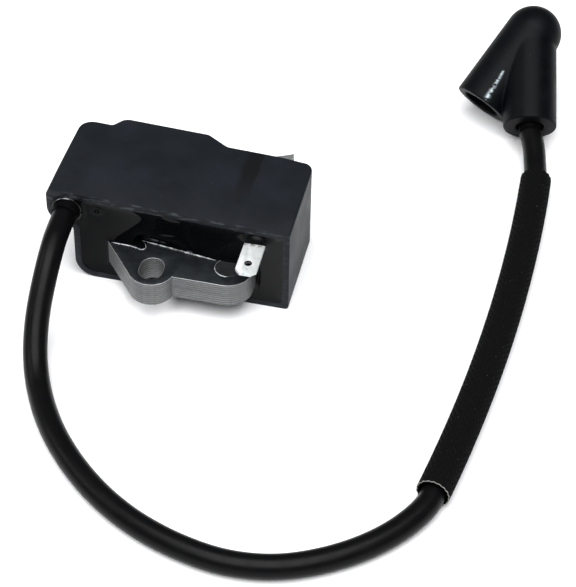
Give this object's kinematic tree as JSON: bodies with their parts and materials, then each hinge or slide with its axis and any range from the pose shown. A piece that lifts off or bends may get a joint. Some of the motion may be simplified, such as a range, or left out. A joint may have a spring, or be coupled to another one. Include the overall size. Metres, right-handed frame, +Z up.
{
  "type": "ignition coil",
  "caption": "Potted flywheel ignition coil on a laminated three-leg core with a slotted mounting lobe, blade terminal, and high-tension lead with loose sleeve and angled plug boot.",
  "frame": {"origin": "middle of the module's underside, under the middle of the case and core, without the lead and what is on it", "axes": "+X along the case from its lead end to its blade end, +Y from the resin-filled front towards the pole tips, +Z up"},
  "size_m": [0.1096, 0.1786, 0.0254],
  "materials": {
    "case": "moulded glass-filled nylon, matte black",
    "resin": "poured epoxy, glossy black",
    "core_steel": "varnished electrical steel sheet, dark grey",
    "rivet_steel": "plain steel",
    "bobbin": "moulded natural nylon",
    "winding": "enamelled copper wire",
    "board": "glass-epoxy laminate, green",
    "capacitor": "dipped film capacitor, brown",
    "chip": "moulded epoxy, black",
    "resistor": "lacquered ceramic, beige",
    "tin": "bright tin plate",
    "contact_brass": "plain brass",
    "bushing": "black nylon wet with resin",
    "lead": "extruded black insulation, satin",
    "sleeve": "braided black sleeving",
    "boot": "moulded black rubber, satin",
    "spring": "plated spring steel"
  },
  "bodies": {
    "module": {"case_shell": "case", "potting_compound": "resin", "lamination_1": "core_steel", "lamination_2": "core_steel", "lamination_3": "core_steel", "lamination_4": "core_steel", "lamination_5": "core_steel", "lamination_6": "core_steel", "lamination_7": "core_steel", "lamination_8": "core_steel", "lamination_9": "core_steel", "lamination_10": "core_steel", "core_rivets": "rivet_steel", "primary_bobbin": "bobbin", "primary_winding": "winding", "secondary_bobbin": "bobbin", "secondary_winding_1": "winding", "secondary_winding_2": "winding", "secondary_winding_3": "winding", "secondary_winding_4": "winding", "charge_bobbin": "bobbin", "charge_winding": "winding", "trigger_bobbin": "bobbin", "trigger_winding": "winding", "circuit_board": "board", "storage_capacitor": "capacitor", "thyristor": "chip", "diode_1": "chip", "diode_2": "chip", "diode_3": "chip", "resistor_1": "resistor", "resistor_2": "resistor", "kill_blade": "tin", "earth_strap": "contact_brass", "ht_contact": "contact_brass", "lead_bushing": "bushing", "lead_tail": "lead", "lead_tube": "lead", "lead_end": "lead"},
    "sleeve": {"abrasion_sleeve": "sleeve"},
    "boot": {"boot": "boot", "plug_spring": "spring", "contact_spike": "spring"}
  },
  "joints": [
    {"name": "sleeve_slide", "type": "hinge", "parent": "module", "child": "sleeve", "pos_m": [-0.3973, 0.01875, 0.00374], "axis": [0, 0, 1], "range_deg": [-0.362, 0.241]},
    {"name": "boot_swivel", "type": "hinge", "parent": "module", "child": "boot", "pos_m": [0.0692, 0.0767, 0.01765], "axis": [-0.1641, 0.8852, 0.4352], "range_deg": [0, 140]}
  ]
}
